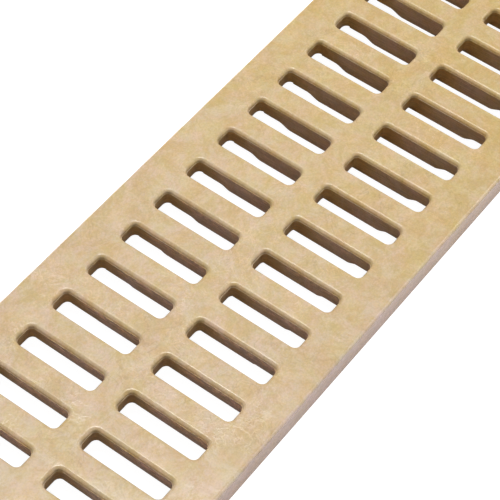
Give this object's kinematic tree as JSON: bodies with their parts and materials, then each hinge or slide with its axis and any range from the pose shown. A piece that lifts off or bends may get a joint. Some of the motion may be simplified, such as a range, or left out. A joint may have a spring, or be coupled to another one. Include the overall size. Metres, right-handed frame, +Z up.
{
  "type": "channel drain grate",
  "caption": "Slotted plastic grate, moulded in one piece, that covers a surface drainage channel and lets water through.",
  "frame": {"origin": "middle of the base, level with the undersides of the skirt and of the deepest bars", "axes": "+X along the grate, +Y across it, +Z up out of the walking face"},
  "size_m": [0.6096, 0.1048, 0.0099],
  "materials": {
    "sand_plastic": "satin sand-coloured polyethylene with faint flow marks"
  },
  "bodies": {
    "root": {"grate": "sand_plastic"}
  },
  "joints": []
}
